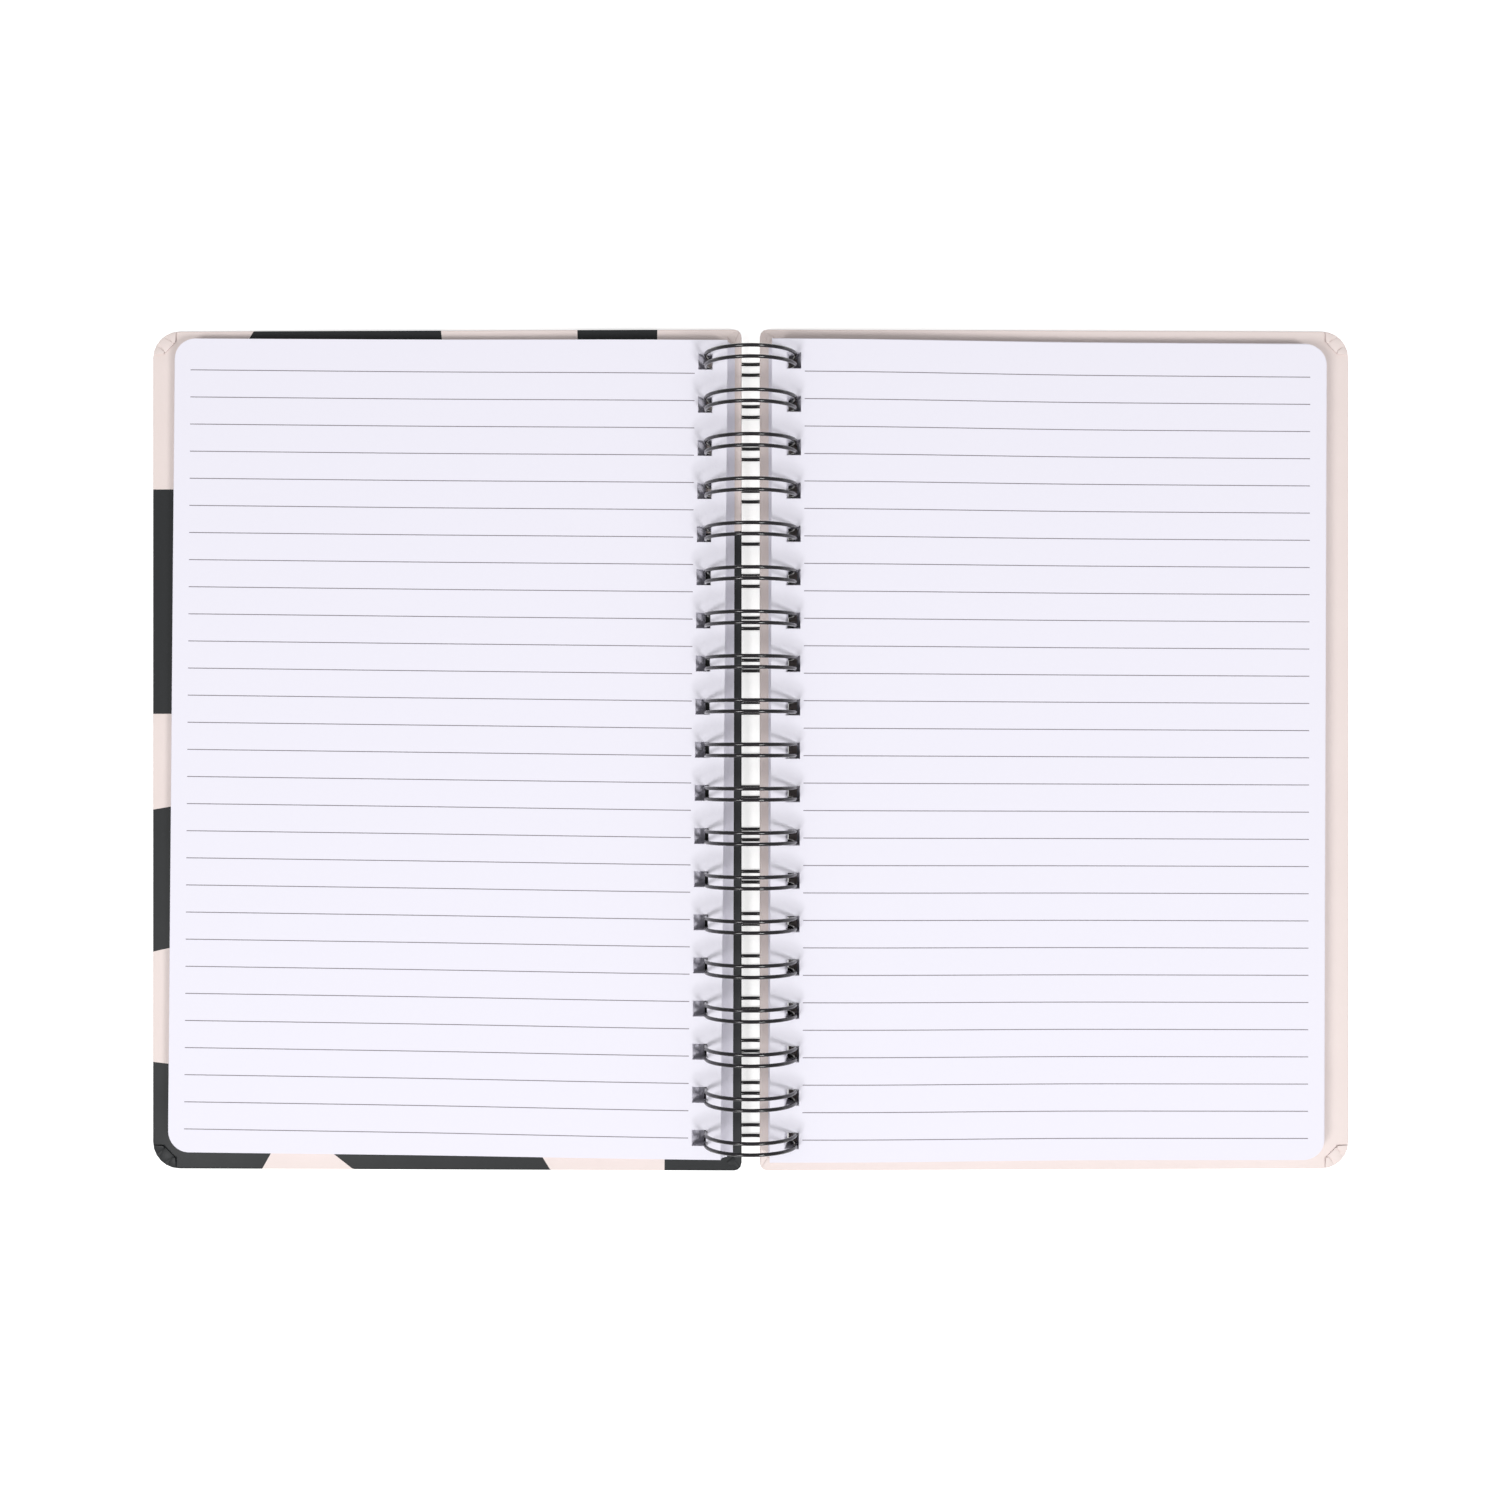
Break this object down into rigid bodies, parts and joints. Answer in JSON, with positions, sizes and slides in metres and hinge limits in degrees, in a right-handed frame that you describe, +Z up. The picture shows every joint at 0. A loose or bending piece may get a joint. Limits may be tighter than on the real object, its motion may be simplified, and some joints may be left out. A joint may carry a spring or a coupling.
{
  "type": "open spiral notebook",
  "caption": "Hardcover ruled notebook bound on a twin-loop wire, lying open and flat, whose two halves turn about the wire to close.",
  "frame": {"origin": "on the table, under the middle of the wire binding, midway between the two covers", "axes": "+X from the left half to the right half, +Y up the page, +Z up from the table"},
  "size_m": [0.3584, 0.251, 0.0276],
  "materials": {
    "black_wire": "gloss",
    "printed_wrap": "satin",
    "cream_wrap": "satin",
    "lining_paper": "matte",
    "ruled_paper": "matte"
  },
  "bodies": {
    "binding": {"wire_binding": "black_wire"},
    "front_half": {"front_cover": "printed_wrap", "front_lining": "lining_paper", "left_pages": "ruled_paper"},
    "back_half": {"back_cover": "cream_wrap", "back_lining": "lining_paper", "right_pages": "ruled_paper"}
  },
  "joints": [
    {"name": "front_cover_turn", "type": "hinge", "parent": "binding", "child": "front_half", "pos_m": [0, 0, 0.0138], "axis": [0, 1, 0], "range_deg": [0, 180]},
    {"name": "back_cover_turn", "type": "hinge", "parent": "binding", "child": "back_half", "pos_m": [0, 0, 0.0138], "axis": [0, -1, 0], "range_deg": [0, 180]}
  ]
}
